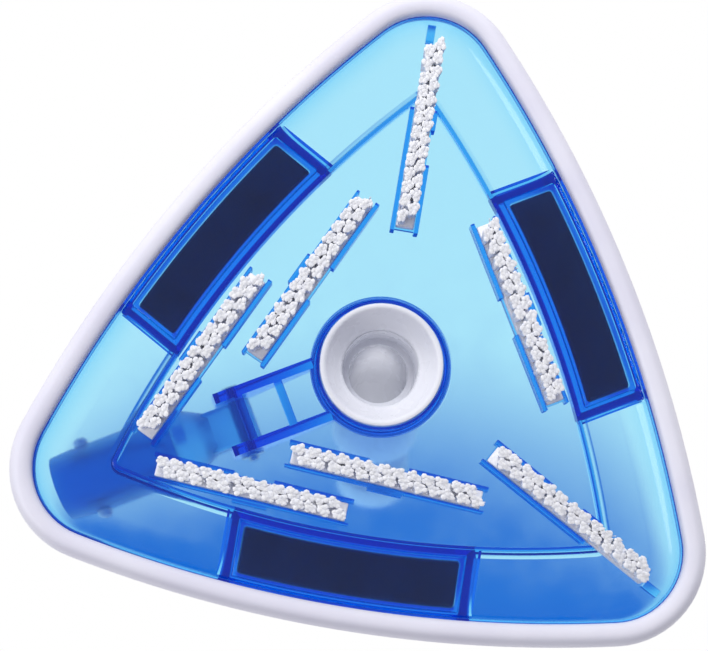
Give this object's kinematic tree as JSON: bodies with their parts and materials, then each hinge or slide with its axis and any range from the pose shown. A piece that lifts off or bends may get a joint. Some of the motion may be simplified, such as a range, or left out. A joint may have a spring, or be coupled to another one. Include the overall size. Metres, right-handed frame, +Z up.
{
  "type": "manual pool vacuum head",
  "caption": "Triangular see-through weighted pool vacuum head with soft bumper, brushes, swivel hose elbow and tilting pole handle.",
  "frame": {"origin": "middle of the bounding box's underside, in the plane of the brush tips", "axes": "+Z up; +Y to the rear corner over which the folded handle lies, -Y to the flat front side; X=0 is the shell's mirror plane"},
  "size_m": [0.294, 0.2764, 0.1126],
  "materials": {
    "clear_blue_plastic": "glossy translucent",
    "handle_blue_plastic": "glossy translucent",
    "white_vinyl": "soft satin",
    "white_abs": "satin",
    "white_nylon": "fibrous",
    "coated_weight": "satin coated",
    "stainless_steel": "bright",
    "white_acetal": "satin",
    "black_rubber": "matt"
  },
  "bodies": {
    "shell_body": {"shell": "clear_blue_plastic", "bumper": "white_vinyl", "hinge_pin": "stainless_steel", "pin_washer": "stainless_steel", "weight_front": "coated_weight", "weight_cover_front": "clear_blue_plastic", "weight_rear_left": "coated_weight", "weight_cover_rear_left": "clear_blue_plastic", "weight_rear_right": "coated_weight", "weight_cover_rear_right": "clear_blue_plastic", "brush_front": "white_nylon", "brush_corner_left": "white_nylon", "brush_corner_right": "white_nylon", "brush_inner_left": "white_nylon", "brush_inner_right": "white_nylon", "brush_rear_left": "white_nylon", "brush_rear_right": "white_nylon"},
    "swivel": {"swivel_ring": "white_abs", "swivel_elbow": "white_abs", "swivel_o_ring": "black_rubber"},
    "handle_body": {"handle": "handle_blue_plastic", "clip_bend": "stainless_steel"},
    "clip_left": {"clip_arm_left": "stainless_steel", "snap_button_left": "white_acetal"},
    "clip_right": {"clip_arm_right": "stainless_steel", "snap_button_right": "white_acetal"}
  },
  "joints": [
    {"name": "swivel_turn", "type": "hinge", "parent": "shell_body", "child": "swivel", "pos_m": [0, -0.02546, 0.03], "axis": [0, 0, 1], "continuous": true},
    {"name": "handle_tilt", "type": "hinge", "parent": "shell_body", "child": "handle_body", "pos_m": [0, 0.03854, 0.0376], "axis": [1, 0, 0], "range_deg": [0, 75]},
    {"name": "left_button_press", "type": "hinge", "parent": "handle_body", "child": "clip_left", "pos_m": [-0.005, 0.07654, 0.0376], "axis": [0, 0, -1], "range_deg": [0, 7.5], "stiffness_Nm_per_rad": 2.5},
    {"name": "right_button_press", "type": "hinge", "parent": "handle_body", "child": "clip_right", "pos_m": [0.005, 0.07654, 0.0376], "axis": [0, 0, 1], "range_deg": [0, 7.5], "stiffness_Nm_per_rad": 2.5}
  ]
}
